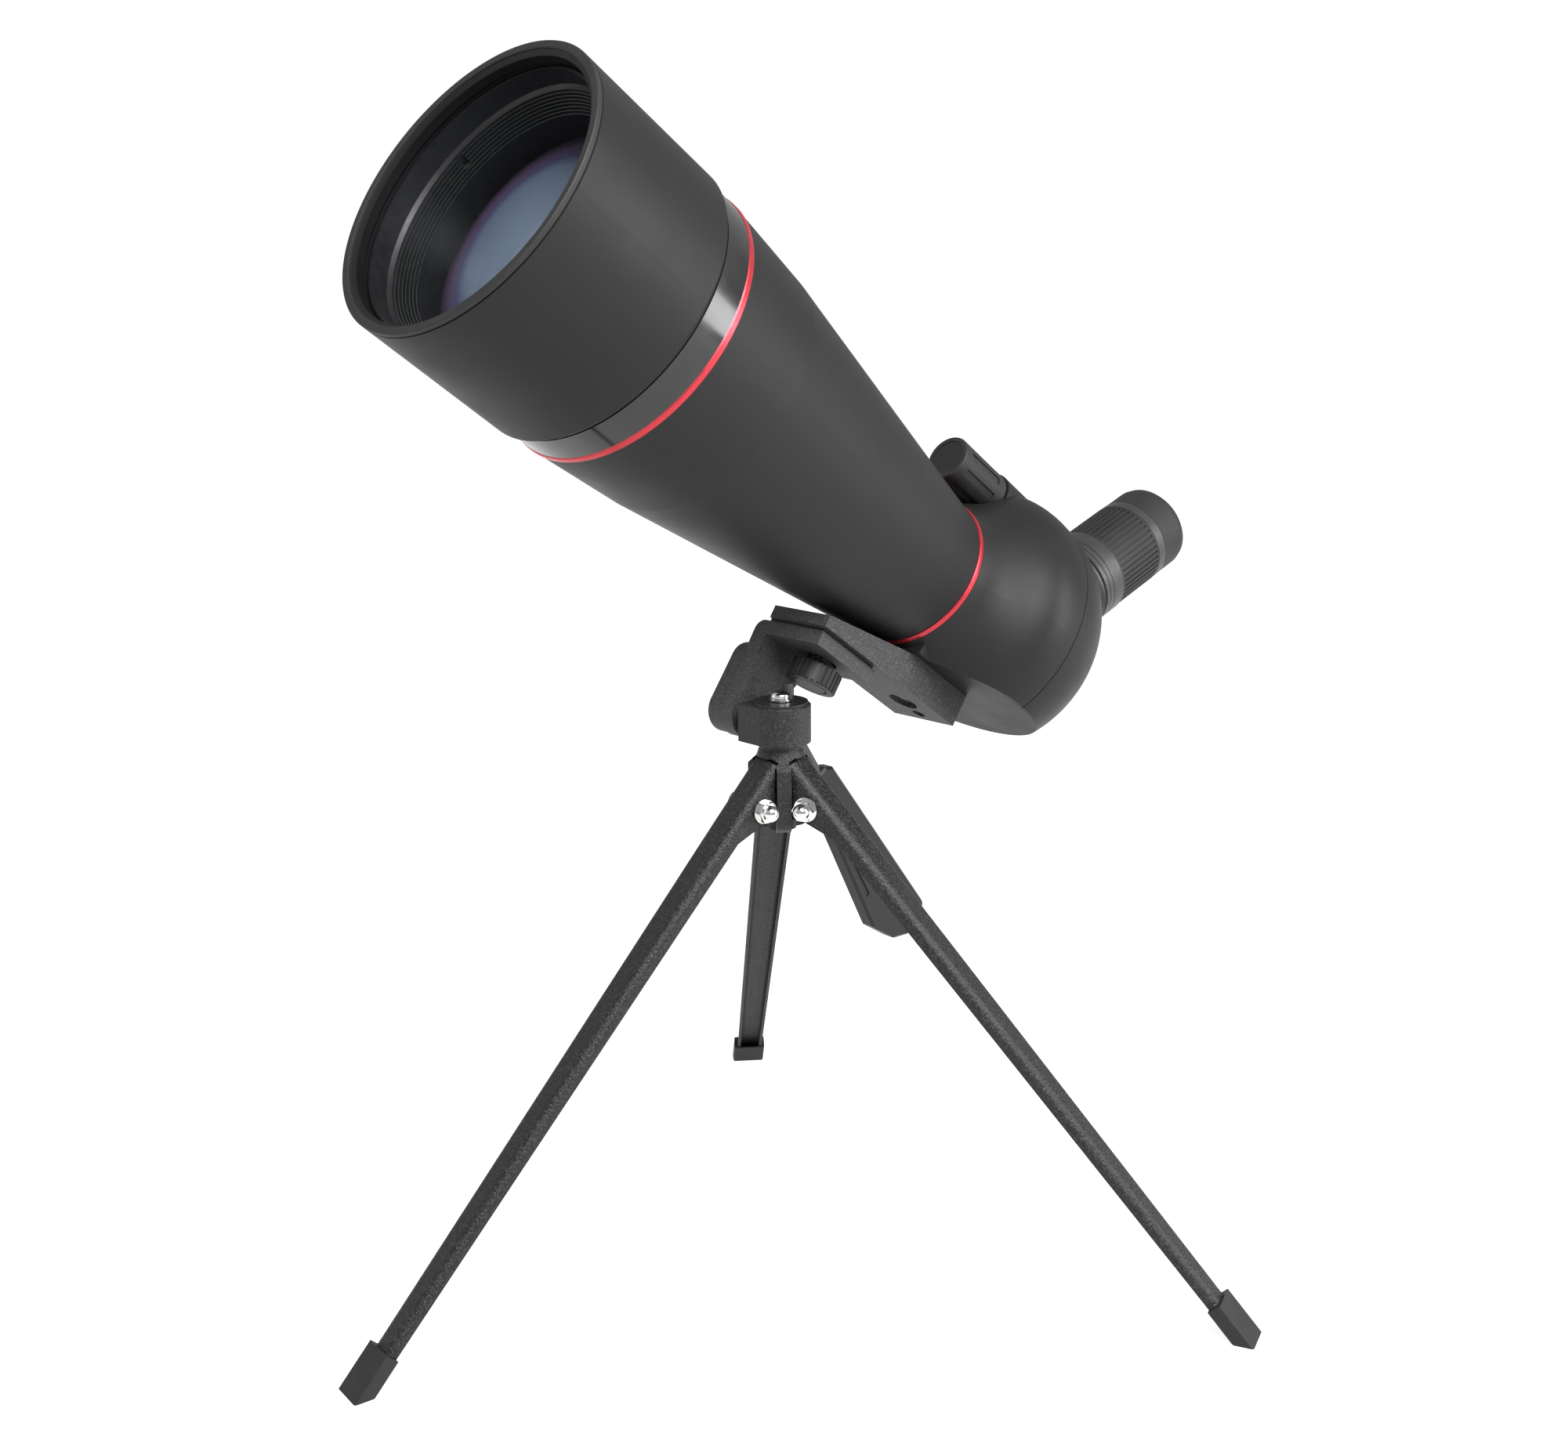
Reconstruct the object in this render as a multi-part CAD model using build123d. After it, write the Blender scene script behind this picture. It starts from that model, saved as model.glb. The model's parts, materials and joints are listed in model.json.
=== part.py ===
from build123d import *
import math
import os

# ---------------------------------------------------------------------------
# Angled zoom spotting scope on a folding table tripod.
# Units are millimetres, +Z is up and the floor is Z = 0.
# The optical axis lies in the plane X = 0 and the objective points to -Y, up.
# Stations along the scope are measured rearwards from the front of the hood.
# ---------------------------------------------------------------------------

# placing of the tripod axis so that the box of the whole part is centred
TRIPOD_X = -11.38
TRIPOD_Y = -21.264

# scope attitude
SCOPE_PITCH = 35.5
AXIS_HEIGHT = 290.1
AXIS_STATION = 150.0

# running and seating gaps
RUN_FIT = 0.06
BODY_GAP = 0.3

# lens hood and objective tube
HOOD_R = 50.1
HOOD_LENGTH = 59.7
HOOD_LIP_R = 45.8
TUBE_R = 46.2
TUBE_FRONT = 6.0
COLLAR_START = 60.0
ACCENT_START = 70.0
BARREL_START = 72.4
COLLAR_SEAT_R = 47.0
COLLAR_R = 48.7

# objective
LENS_R = 41.5
CELL_BORE_R = 43.5
RETAINER_START = 15.0
RETAINER_BORE_R = 39.5
LENS_SEAT = 30.2
FLINT_END = 44.0

# barrel
BREAK_STATION = 107.0
BREAK_R = 46.0
BARREL_END = 231.0
BARREL_END_R = 29.1
BARREL_WALL = 2.6
NECK_R = 26.8
REAR_ACCENT_R = 29.7
HOUSING_START = 233.2

# prism housing
SEAM_STATION = 272.5
SEAM_WIDTH = 0.45
BULB_R = 49.6
DOME_DEPTH = 44.9
HOUSING_WALL = 2.6
HOUSING_FLOOR = -29.6
FLOOR_CORNER_R = 16.0
PAD_HALF_WIDTH = 17.0
PAD_START = 235.0
PAD_END = 290.0
PAD_TOP = -14.0

# focus
FOCUS_HEIGHT = 42.9
KNOB_START = 223.8
KNOB_END = 251.5
KNOB_R = 8.6
KNOB_CAP_R = 6.7
BOSS_R = 9.2
BOSS_END = 275.0
SHAFT_R = 2.0
CARRIAGE_R = 22.0
CARRIAGE_START = 205.0
CARRIAGE_END = 262.0

# eyepiece
EYE_STATION = 289.2
EYE_ANGLE = 55.0
SOCKET_R = 18.4
SOCKET_END = 45.8
EYE_BARREL_R = 14.0
EYE_BORE_R = 12.5
ZOOM_START = 53.5
GRIP_START = 59.7
GRIP_END = 84.3
BAND_END = 88.6
EYECUP_START = 88.9
EYECUP_END = 102.4
EYECUP_R = 17.1
GRIP_R = 17.3
ZOOM_COLLAR_R = 17.65
GRIP_RIBS = 48

# foot plate
PLATE_LEFT = -16.6
PLATE_RIGHT = 12.9
PLATE_FRONT = 191.3
PLATE_BEND = 238.0
PLATE_REAR = 272.3
PLATE_BOTTOM = -41.9
PLATE_NOSE_TOP = -37.8
PLATE_TOP = HOUSING_FLOOR
CLAMP_STATION = 211.0
CLAMP_X = -2.0
PLATE_SCREW_STATION = 256.2
PIN_HOLE_STATION = 266.6

# tilt bracket
PAD_THICKNESS = 1.1
PLATFORM_BOTTOM = -48.1
PLATFORM_FRONT = 193.6
PLATFORM_REAR = 224.8
PLATFORM_RIGHT = 10.6
ARM_INNER_X = -15.4
ARM_OUTER_X = -21.6
BOSS_OUTER_X = -29.3
PIVOT_Z = 198.0
LUG_R = 8.8
LUG_TOP_HEIGHT = -57.0

# clamp thumbscrew
THUMB_R = 9.4
THUMB_TOP = -50.6
THUMB_BOTTOM = -57.9
CLAMP_STUD_R = 3.0
THUMB_FLUTES = 28

# pan head
BLOCK_R = 10.6
BLOCK_FLAT_X = -10.3
BLOCK_BOTTOM = 190.9
BLOCK_TOP = 204.4
PAN_SCREW_R = 2.5
DISC_R = 9.6

# tripod hub and legs
HUB_TOP = 190.6
HUB_NECK_R = 8.2
HUB_CORE_R = 5.2
HUB_BOTTOM = 159.8
RIB_REACH = 11.6
RIB_WIDTH = 5.0
HINGE_RADIUS = 12.5
HINGE_Z = 169.3
TONGUE_R = 4.8
TONGUE_HALF_WIDTH = 5.1
LEG_COUNT = 3
FIRST_LEG_ANGLE = -98.0
LEG_SPLAY = 41.75
LEG_TOP = 15.2
LEG_EAR_LENGTH = 15.5
LEG_BACK = 6.8
LEG_TOP_WIDTH = 13.5
LEG_END_WIDTH = 10.4
LEG_TOP_DEPTH = 5.6
LEG_END_DEPTH = 3.8
LEG_SHEET = 1.2
LEG_CORNER_R = 3.4
FOOT_WIDTH = 13.1
FOOT_BACK = 7.9
FOOT_FRONT = 2.3
FOOT_HEIGHT = 17.0
BOLT_R = 2.0

# pan handle
HANDLE_X = -18.5
HANDLE_Y = 13.5
HANDLE_Z = 202.0
HANDLE_ANGLE = 57.0
ROD_R = 2.4
ROD_START = -10.0
GRIP_FROM = 39.0
GRIP_TO = 128.0
GRIP_TOP_WIDTH = 12.5
GRIP_BOTTOM_WIDTH = 26.0
GRIP_THICKNESS = 6.6

scope_frame = Plane(
    origin=(0, 0, AXIS_HEIGHT),
    x_dir=(1, 0, 0),
    z_dir=(0, -math.cos(math.radians(SCOPE_PITCH)), math.sin(math.radians(SCOPE_PITCH))),
)
eye_frame = Plane(
    origin=(0, 0, AXIS_STATION - EYE_STATION),
    x_dir=(1, 0, 0),
    z_dir=(0, math.sin(math.radians(EYE_ANGLE)), -math.cos(math.radians(EYE_ANGLE))),
)


# ---------------------------------------------------------------------------
# helpers
# ---------------------------------------------------------------------------

def at(station):
    """Local Z of a station on the optical axis."""
    return AXIS_STATION - station


def turned(*outline):
    """Revolve an outline of (radius, station) points about the optical axis."""
    points = [(radius, 0, at(station)) for radius, station in outline]
    return revolve(make_face(Polyline(*points, close=True)), Axis.Z)


def ring(outer, inner, start, end):
    """Plain ring on the optical axis between two stations."""
    return turned((inner, start), (outer, start), (outer, end), (inner, end))


def eye_turned(*outline):
    """Revolve (radius, distance) points about the eyepiece axis."""
    points = [(radius, 0, distance) for radius, distance in outline]
    return eye_frame.location * revolve(make_face(Polyline(*points, close=True)), Axis.Z)


def eye_ring(outer, inner, start, end):
    """Plain ring on the eyepiece axis."""
    return eye_turned((inner, start), (outer, start), (outer, end), (inner, end))


def side_slab(points, x_from, x_to):
    """Extrude a side outline of (station, height) points across X."""
    outline = [(x_from, height, at(station)) for station, height in points]
    face = make_face(Polyline(*outline, close=True))
    return extrude(face, amount=x_to - x_from, dir=(1, 0, 0))


def axial_cylinder(radius, start, end, height=0.0, x=0.0):
    """Cylinder parallel to the optical axis between two stations."""
    body = Cylinder(radius, end - start, align=(Align.CENTER, Align.CENTER, Align.MAX))
    return Pos(x, height, at(start)) * body


def upright_cylinder(radius, bottom, top, station, x=0.0):
    """Cylinder square to the foot plate, given by its lower and upper heights."""
    body = Cylinder(radius, top - bottom, align=(Align.CENTER, Align.CENTER, Align.MIN))
    return Pos(x, bottom, at(station)) * Rot(-90, 0, 0) * body


def cross_cylinder(radius, x_from, x_to, y, z):
    """Cylinder along X in the tripod frame."""
    body = Cylinder(radius, x_to - x_from, align=(Align.CENTER, Align.CENTER, Align.MIN))
    return Pos(x_from, y, z) * Rot(0, 90, 0) * body


def lens(radius, land, front_edge, front_vertex, rear_edge, rear_vertex):
    """Lens whose spherical faces, domed or hollow, sit inside a flat land at its edge."""
    body = ring(radius, 0, front_edge, rear_edge)
    for outwards, edge, vertex in ((1, front_edge, front_vertex), (-1, rear_edge, rear_vertex)):
        rise = outwards * (edge - vertex)
        face_r = (land ** 2 + rise ** 2) / (2 * abs(rise))
        if rise > 0:
            ball = Pos(0, 0, at(vertex) - outwards * face_r) * Sphere(face_r)
            body += ball & ring(land, 0, min(vertex, edge) - 0.5, max(vertex, edge) + 0.5)
        else:
            body -= Pos(0, 0, at(vertex) + outwards * face_r) * Sphere(face_r)
    return body


def pivot_in_scope_frame():
    """Station and height of the tilt pivot in the scope frame."""
    pitch = math.radians(SCOPE_PITCH)
    drop = PIVOT_Z - AXIS_HEIGHT
    return AXIS_STATION - drop * math.sin(pitch), drop * math.cos(pitch)


def barrel_radius(station):
    """Outside radius of the long cone."""
    share = (station - BREAK_STATION) / (BARREL_END - BREAK_STATION)
    return BREAK_R + share * (BARREL_END_R - BREAK_R)


# ---------------------------------------------------------------------------
# front of the scope
# ---------------------------------------------------------------------------

def lens_hood():
    bore = TUBE_R + RUN_FIT
    shell = turned(
        (HOOD_LIP_R, 1.8),
        (HOOD_LIP_R + 1.6, 0.8),
        (HOOD_R - 1.2, 0.8),
        (HOOD_R - 1.2, 1.6),
        (HOOD_R, 2.2),
        (HOOD_R, HOOD_LENGTH - 2.0),
        (HOOD_R - 1.6, HOOD_LENGTH),
        (bore, HOOD_LENGTH),
        (bore, 5.2),
        (HOOD_LIP_R, 4.6),
    )
    return shell


def hood_edge_ring():
    return turned(
        (HOOD_R - 2.7, 0.8),
        (HOOD_R - 2.7, 0.3),
        (HOOD_R - 2.3, 0.0),
        (HOOD_R - 0.3, 0.0),
        (HOOD_R, 0.4),
        (HOOD_R, 1.6),
        (HOOD_R - 1.2, 1.6),
        (HOOD_R - 1.2, 0.8),
    )


def objective_tube():
    spigot = BREAK_R - BARREL_WALL
    return turned(
        (TUBE_R - 1.0, TUBE_FRONT),
        (TUBE_R, TUBE_FRONT + 0.6),
        (TUBE_R, COLLAR_START),
        (COLLAR_SEAT_R, COLLAR_START),
        (COLLAR_SEAT_R, BARREL_START),
        (spigot, BARREL_START),
        (spigot, 92.0),
        (LENS_R, 92.0),
        (LENS_R, FLINT_END + 3.5),
        (LENS_R - 2.0, FLINT_END + 3.5),
        (LENS_R - 2.0, FLINT_END),
        (LENS_R, FLINT_END),
        (LENS_R, LENS_SEAT - 2.0),
        (CELL_BORE_R, LENS_SEAT - 2.0),
        (CELL_BORE_R, RETAINER_START - 1.0),
        (TUBE_R - 1.6, RETAINER_START - 2.2),
        (TUBE_R - 1.6, TUBE_FRONT),
    )


def retaining_ring():
    """Threaded retainer with a stepped face and two spanner slots."""
    steps = 6
    outline = [(CELL_BORE_R, RETAINER_START)]
    width = CELL_BORE_R - 0.5 - RETAINER_BORE_R
    for step in range(steps):
        radius = CELL_BORE_R - 0.5 - width * step / steps
        station = RETAINER_START + 0.9 * step
        outline.append((radius, station))
        outline.append((radius, station + 0.9))
    outline.append((RETAINER_BORE_R, RETAINER_START + 0.9 * steps))
    outline.append((RETAINER_BORE_R, LENS_SEAT))
    outline.append((LENS_R, LENS_SEAT))
    outline.append((LENS_R, LENS_SEAT - 2.0))
    outline.append((CELL_BORE_R, LENS_SEAT - 2.0))
    body = turned(*outline)
    for angle in (150, 330):
        slot = Pos(CELL_BORE_R - 1.0, 0, at(RETAINER_START)) * Box(6.0, 2.4, 6.4)
        body -= Rot(0, 0, angle) * slot
    return body


def crown_lens():
    return lens(LENS_R, RETAINER_BORE_R, LENS_SEAT, 26.3, 34.2, 37.6)


def lens_spacer():
    return ring(LENS_R, RETAINER_BORE_R, 34.2, 36.2)


def flint_lens():
    return lens(LENS_R, RETAINER_BORE_R, 36.2, 39.2, FLINT_END, 42.4)


def name_collar():
    return ring(COLLAR_R, COLLAR_SEAT_R, COLLAR_START, ACCENT_START)


def front_accent_ring():
    return turned(
        (COLLAR_SEAT_R, ACCENT_START),
        (COLLAR_R, ACCENT_START),
        (COLLAR_R + 0.3, ACCENT_START + 0.4),
        (COLLAR_R + 0.3, BARREL_START - 0.4),
        (COLLAR_R, BARREL_START),
        (COLLAR_SEAT_R, BARREL_START),
    )


def barrel():
    inner = BREAK_R - BARREL_WALL
    step = 221.0
    return turned(
        (COLLAR_R, BARREL_START),
        (BREAK_R, BREAK_STATION),
        (BARREL_END_R, BARREL_END),
        (NECK_R, BARREL_END),
        (NECK_R, step),
        (barrel_radius(step) - BARREL_WALL, step),
        (inner, BREAK_STATION),
        (inner, BARREL_START),
    )


def baffle_tube():
    """Light baffles carried on a thin cone inside the barrel."""
    def wall(station):
        return barrel_radius(station) - BARREL_WALL
    start = 112.0
    end = 200.0
    cone = turned(
        (wall(start), start),
        (wall(end), end),
        (wall(end) - 0.8, end),
        (wall(start) - 0.8, start),
    )
    for station in (start, 130.0, 148.0, 166.0, 184.0):
        outer = wall(station + 0.8)
        cone += ring(outer, outer - 5.0, station, station + 0.8)
    return cone


def rear_accent_ring():
    return turned(
        (NECK_R, BARREL_END),
        (REAR_ACCENT_R - 0.3, BARREL_END),
        (REAR_ACCENT_R, BARREL_END + 0.4),
        (REAR_ACCENT_R, HOUSING_START - 0.4),
        (REAR_ACCENT_R - 0.3, HOUSING_START),
        (NECK_R, HOUSING_START),
    )


# ---------------------------------------------------------------------------
# prism housing
# ---------------------------------------------------------------------------

def floor_section(inset):
    """Round section with a flat floor, long enough for the whole housing."""
    radius = BULB_R + 6.0 - inset
    floor = HOUSING_FLOOR + inset
    disc = Circle(radius) - Pos(0, floor - 40) * Rectangle(200, 80)
    disc = fillet(disc.vertices(), FLOOR_CORNER_R)
    return Pos(0, 0, at(SEAM_STATION + 60)) * extrude(disc, amount=110)


def flare(inset):
    """Solid front of the housing, from the neck to the seam."""
    base = BARREL_END_R + 0.5 - inset
    side = Spline(
        (base, 0, at(HOUSING_START)),
        (base + 2.4, 0, at(239.0)),
        (base + 8.2, 0, at(246.0)),
        (base + 14.2, 0, at(252.0)),
        (base + 18.2, 0, at(258.0)),
        (base + 19.8, 0, at(264.0)),
        (BULB_R - inset, 0, at(SEAM_STATION)),
    )
    cap = Polyline(
        (BULB_R - inset, 0, at(SEAM_STATION)),
        (0, 0, at(SEAM_STATION)),
        (0, 0, at(HOUSING_START)),
        (base, 0, at(HOUSING_START)),
    )
    return revolve(make_face([side, cap]), Axis.Z)


def dome(inset):
    """Solid rear dome behind the seam."""
    radius = BULB_R - inset
    depth = DOME_DEPTH - inset
    seam = at(SEAM_STATION)
    arc = Plane.XZ * EllipticalCenterArc((0, seam), radius, depth, start_angle=-90, arc_size=90)
    cap = Polyline((radius, 0, seam), (0, 0, seam), (0, 0, seam - depth))
    return revolve(make_face([arc, cap]), Axis.Z)


def plate_outline():
    return [
        (PLATE_FRONT, PLATE_NOSE_TOP),
        (PLATE_BEND, PLATE_TOP),
        (PLATE_REAR, PLATE_TOP),
        (PLATE_REAR, PLATE_BOTTOM),
        (PLATE_FRONT, PLATE_BOTTOM),
    ]


def prism_housing():
    outer = flare(0) & floor_section(0)
    pad = side_slab(
        [(PAD_START, HOUSING_FLOOR), (SEAM_STATION, HOUSING_FLOOR),
         (SEAM_STATION, PAD_TOP), (PAD_START + 3.0, PAD_TOP)],
        -PAD_HALF_WIDTH, PAD_HALF_WIDTH,
    )
    outer += pad
    outer += axial_cylinder(BOSS_R, KNOB_END + BODY_GAP, SEAM_STATION, FOCUS_HEIGHT)
    outer -= axial_cylinder(KNOB_R + 0.7, KNOB_START, KNOB_END + BODY_GAP, FOCUS_HEIGHT)
    inner = flare(HOUSING_WALL) & floor_section(HOUSING_WALL + 6.0)
    inner -= axial_cylinder(KNOB_R + 0.7 + HOUSING_WALL, KNOB_START, KNOB_END + HOUSING_WALL, FOCUS_HEIGHT)
    body = outer - inner
    body += ring(NECK_R, CARRIAGE_R + RUN_FIT, 222.0, HOUSING_START)
    body += ring(NECK_R + 1.0, CARRIAGE_R + RUN_FIT, HOUSING_START, HOUSING_START + 2.6)
    body -= axial_cylinder(5.6, 254.2, SEAM_STATION, FOCUS_HEIGHT)
    body -= axial_cylinder(SHAFT_R + RUN_FIT, KNOB_END, SEAM_STATION, FOCUS_HEIGHT)
    body -= axial_cylinder(CARRIAGE_R + RUN_FIT, 200.0, SEAM_STATION)
    body -= upright_cylinder(2.0, PLATE_BOTTOM, -26.0, PLATE_SCREW_STATION)
    return body - ring(60, BULB_R - SEAM_WIDTH, SEAM_STATION - SEAM_WIDTH, SEAM_STATION + 1)


def rear_cover():
    outer = dome(0) & floor_section(0)
    socket = eye_turned((0, 12), (SOCKET_R + 2.6, 26), (SOCKET_R, 38), (SOCKET_R, SOCKET_END), (0, SOCKET_END))
    rear_half = Pos(0, 0, at(SEAM_STATION) - 60) * Box(160, 160, 120)
    outer += socket & rear_half
    inner = dome(HOUSING_WALL) & floor_section(HOUSING_WALL + 4.0)
    body = outer - inner
    body -= eye_turned((0, 4), (EYE_BARREL_R, 4), (EYE_BARREL_R, SOCKET_END + 1), (0, SOCKET_END + 1))
    return body


def prism_holder():
    front = side_slab([(273.4, -20), (275.4, -20), (275.4, 20), (273.4, 20)], -18, 18)
    front -= axial_cylinder(13.0, 272, 277)
    tray = side_slab([(275.4, -20), (303, -20), (303, -17.0), (275.4, -17.0)], -16, 16)
    foot = side_slab([(276, HOUSING_FLOOR + HOUSING_WALL + 4.0), (298, HOUSING_FLOOR + HOUSING_WALL + 4.0),
                      (294, -20), (276, -20)], -8, 8)
    return front + tray + foot


def roof_prism():
    return side_slab(
        [(275.4, -17.0), (275.4, 15.5), (291.0, 23.2), (311.4, 9.0), (302.0, -17.0)],
        -13, 13,
    )


def foot_plate():
    body = side_slab(plate_outline(), PLATE_LEFT, PLATE_RIGHT)
    nose = [e for e in body.edges().filter_by(Axis.Y)
            if e.center().Z > at(PLATE_FRONT) - 0.1 and e.center().X < 0]
    body = chamfer(nose, 2.2)
    body -= upright_cylinder(CLAMP_STUD_R, PLATE_BOTTOM, -35.0, CLAMP_STATION, CLAMP_X)
    body -= upright_cylinder(5.6, PLATE_BOTTOM, PLATE_BOTTOM + 4.2, PLATE_SCREW_STATION)
    body -= upright_cylinder(2.0, PLATE_BOTTOM, PLATE_TOP, PLATE_SCREW_STATION)
    body -= upright_cylinder(2.6, PLATE_BOTTOM, PLATE_BOTTOM + 6.0, PIN_HOLE_STATION)
    return body


def plate_screw():
    top = PLATE_BOTTOM + 4.2
    head = upright_cylinder(4.4, top - 2.6, top, PLATE_SCREW_STATION)
    shank = upright_cylinder(2.0, top, -26.0, PLATE_SCREW_STATION)
    slot = Pos(0, top - 2.6, at(PLATE_SCREW_STATION)) * Box(1.2, 2.0, 9.5)
    return head + shank - slot


# ---------------------------------------------------------------------------
# focus drive
# ---------------------------------------------------------------------------

def focus_knob():
    body = axial_cylinder(KNOB_R, KNOB_START, KNOB_END, FOCUS_HEIGHT)
    rims = body.edges().filter_by(GeomType.CIRCLE)
    body = fillet(rims, 0.8)
    for index in range(8):
        flute = Pos(0, KNOB_R + 0.35, 0) * Box(2.8, 1.9, 18.5)
        turned_flute = Rot(0, 0, 45 * index + 22.5) * flute
        body -= Pos(0, FOCUS_HEIGHT, at(KNOB_START + 13.2)) * turned_flute
    body -= Pos(0, FOCUS_HEIGHT + KNOB_R, at(KNOB_END)) * Box(0.9, 0.9, 4.0)
    body -= axial_cylinder(KNOB_CAP_R, KNOB_START, KNOB_START + 0.6, FOCUS_HEIGHT)
    body -= axial_cylinder(SHAFT_R, KNOB_START + 12.0, KNOB_END, FOCUS_HEIGHT)
    return body


def focus_knob_cap():
    return axial_cylinder(KNOB_CAP_R, KNOB_START + 0.25, KNOB_START + 0.6, FOCUS_HEIGHT)


def focus_shaft():
    return axial_cylinder(SHAFT_R, KNOB_START + 12.0, 271.5, FOCUS_HEIGHT)


def focus_carriage():
    tube = ring(CARRIAGE_R, CARRIAGE_R - 2.0, CARRIAGE_START, CARRIAGE_END)
    tube += ring(CARRIAGE_R - 2.0, CARRIAGE_R - 4.0, 217.0, 219.0)
    arm = Pos(0, 0.5 * (CARRIAGE_R - 1.0 + FOCUS_HEIGHT), at(260.5))
    arm = arm * Box(5.0, FOCUS_HEIGHT - CARRIAGE_R + 1.0, 3.0)
    nut = axial_cylinder(4.2, 259.0, 262.0, FOCUS_HEIGHT)
    bore = axial_cylinder(SHAFT_R + RUN_FIT, 255.0, 270.0, FOCUS_HEIGHT)
    return tube + arm + nut - bore


def focus_lens():
    return lens(CARRIAGE_R - 2.0, CARRIAGE_R - 3.5, 212.0, 213.2, 217.0, 215.8)


# ---------------------------------------------------------------------------
# eyepiece
# ---------------------------------------------------------------------------

def eyepiece_barrel():
    band_r = GRIP_R - 0.1
    tube = eye_turned(
        (EYE_BORE_R, 30.0),
        (EYE_BARREL_R, 30.0),
        (EYE_BARREL_R, GRIP_END + BODY_GAP),
        (band_r, GRIP_END + BODY_GAP),
        (band_r, BAND_END),
        (EYE_BARREL_R, BAND_END),
        (EYE_BARREL_R, 95.0),
        (EYE_BORE_R, 95.0),
    )
    slot = eye_frame.location * (Pos(EYE_BARREL_R - 1.0, 0, 57.5) * Box(6.0, 2.4, 18.0))
    return tube - slot


def eyepiece_base():
    return eye_turned(
        (EYE_BARREL_R, SOCKET_END),
        (16.9, SOCKET_END),
        (16.9, 48.4),
        (ZOOM_COLLAR_R, 48.8),
        (ZOOM_COLLAR_R, 50.7),
        (ZOOM_COLLAR_R - 0.35, 50.9),
        (ZOOM_COLLAR_R, 51.1),
        (ZOOM_COLLAR_R, 53.2),
        (EYE_BARREL_R, 53.2),
    )


def zoom_ring():
    return eye_turned(
        (EYE_BARREL_R + RUN_FIT, ZOOM_START),
        (ZOOM_COLLAR_R, ZOOM_START),
        (ZOOM_COLLAR_R, GRIP_START - 0.3),
        (ZOOM_COLLAR_R - 0.3, GRIP_START),
        (15.9, GRIP_START),
        (15.9, GRIP_END),
        (EYE_BARREL_R + RUN_FIT, GRIP_END),
    )


def zoom_grip():
    sleeve = eye_ring(GRIP_R, 15.9, GRIP_START, GRIP_END)
    length = GRIP_END - GRIP_START - 2.0
    middle = 0.5 * (GRIP_START + GRIP_END)
    grooves = []
    for index in range(GRIP_RIBS):
        groove = Pos(GRIP_R, 0, middle) * Box(0.9, 0.9, length)
        grooves.append(eye_frame.location * (Rot(0, 0, 360 / GRIP_RIBS * index) * groove))
    return sleeve - grooves


def field_lens():
    face = make_face(Polyline((0, 0, 32), (11.6, 0, 33.2), (EYE_BORE_R, 0, 33.2),
                              (EYE_BORE_R, 0, 37), (0, 0, 37), close=True))
    return eye_frame.location * revolve(face, Axis.Z)


def zoom_carriage():
    tube = eye_ring(EYE_BORE_R - RUN_FIT, 10.6, 50.0, 64.0)
    pin = Cylinder(1.0, 2.6, align=(Align.CENTER, Align.CENTER, Align.MIN))
    pin = eye_frame.location * (Pos(11.2, 0, 57.0) * Rot(0, 90, 0) * pin)
    return tube + pin


def zoom_lens():
    return eye_turned((0, 54.6), (9.4, 55.6), (10.6, 55.6), (10.6, 59.0), (9.4, 59.0), (0, 60.4))


def eye_lens():
    return eye_turned((0, 83.6), (11.4, 85.2), (EYE_BORE_R, 85.2), (EYE_BORE_R, 89.4), (11.4, 89.4), (0, 90.6))


def eye_lens_retainer():
    return eye_ring(EYE_BORE_R, 11.4, 89.4, 92.0)


def eyecup_sleeve():
    return eye_turned(
        (EYE_BARREL_R + RUN_FIT, EYECUP_START),
        (15.6, EYECUP_START),
        (15.6, 101.0),
        (13.4, 101.0),
        (13.4, 99.8),
        (EYE_BARREL_R + RUN_FIT, 99.8),
    )


def eyecup():
    body = eye_turned(
        (15.6, EYECUP_START),
        (EYECUP_R, EYECUP_START),
        (EYECUP_R, 99.5),
        (EYECUP_R - 0.6, 101.8),
        (EYECUP_R - 2.0, 103.4),
        (EYECUP_R - 3.8, EYECUP_END),
        (EYECUP_R - 4.6, 103.4),
        (EYECUP_R - 4.6, 101.0),
        (15.6, 101.0),
    )
    return body


# ---------------------------------------------------------------------------
# tilt bracket, clamp and handle
# ---------------------------------------------------------------------------

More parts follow.
